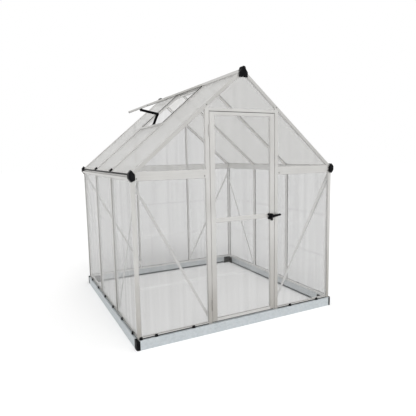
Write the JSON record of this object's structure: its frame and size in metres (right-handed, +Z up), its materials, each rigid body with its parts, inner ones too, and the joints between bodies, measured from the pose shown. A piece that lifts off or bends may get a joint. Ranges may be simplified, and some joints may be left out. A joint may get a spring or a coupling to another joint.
{
  "type": "greenhouse",
  "caption": "Small walk-in greenhouse of aluminium bars and clear sheets on a steel base, with a gabled roof, a propped roof vent and a hinged door with a turning lever.",
  "frame": {"origin": "on the ground at the middle of the footprint", "axes": "+Z up, +Y from the door wall to the back wall, +X to the right of someone who faces the door"},
  "size_m": [1.86, 1.8653, 2.0669],
  "materials": {
    "aluminium": "satin mill finish",
    "galvanised_steel": "galvanised sheet",
    "black_plastic": "moulded, fine texture",
    "clear_sheet": "clear glossy sheet",
    "twin_wall_sheet": "fluted translucent sheet"
  },
  "bodies": {
    "frame": {"bottom_rail_front": "aluminium", "bottom_rail_back": "aluminium", "bottom_rails_sides": "aluminium", "corner_posts": "aluminium", "side_wall_studs": "aluminium", "back_wall_studs": "aluminium", "door_jambs": "aluminium", "eave_rail_front": "aluminium", "eave_rail_back": "aluminium", "eave_gutters": "aluminium", "front_gable_rafters": "aluminium", "back_gable_rafters": "aluminium", "roof_rafters": "aluminium", "ridge_beam": "aluminium", "door_header": "aluminium", "gable_wall_braces": "aluminium", "side_wall_braces": "aluminium", "vent_side_rails": "aluminium", "vent_end_rails": "aluminium", "vent_sill": "aluminium", "jamb_hinges": "aluminium", "base_rail_front": "galvanised_steel", "base_rail_back": "galvanised_steel", "base_rail_left": "galvanised_steel", "base_rail_right": "galvanised_steel", "base_corners": "black_plastic", "eave_connectors": "black_plastic", "apex_caps": "black_plastic", "eave_clips": "black_plastic", "vent_arm": "black_plastic", "front_wall_panels": "clear_sheet", "front_gable_panels": "clear_sheet", "back_wall_panels": "clear_sheet", "back_gable_panels": "clear_sheet", "left_wall_panels": "clear_sheet", "right_wall_panels": "clear_sheet", "left_roof_panels": "twin_wall_sheet", "right_roof_panels": "twin_wall_sheet", "vent_panel": "twin_wall_sheet"},
    "door": {"door_stiles": "aluminium", "door_rails": "aluminium", "door_panels": "clear_sheet", "door_hinges": "aluminium", "door_latch_plate": "black_plastic"},
    "handle": {"door_handle": "black_plastic"}
  },
  "joints": [
    {"name": "door_hinge", "type": "hinge", "parent": "frame", "child": "door", "pos_m": [-0.2975, -0.9155, 0.9], "axis": [0, 0, -1], "range_deg": [0, 115]},
    {"name": "handle_turn", "type": "hinge", "parent": "door", "child": "handle", "pos_m": [0.262, -0.93, 0.89], "axis": [0, 1, 0], "range_deg": [0, 90]}
  ]
}
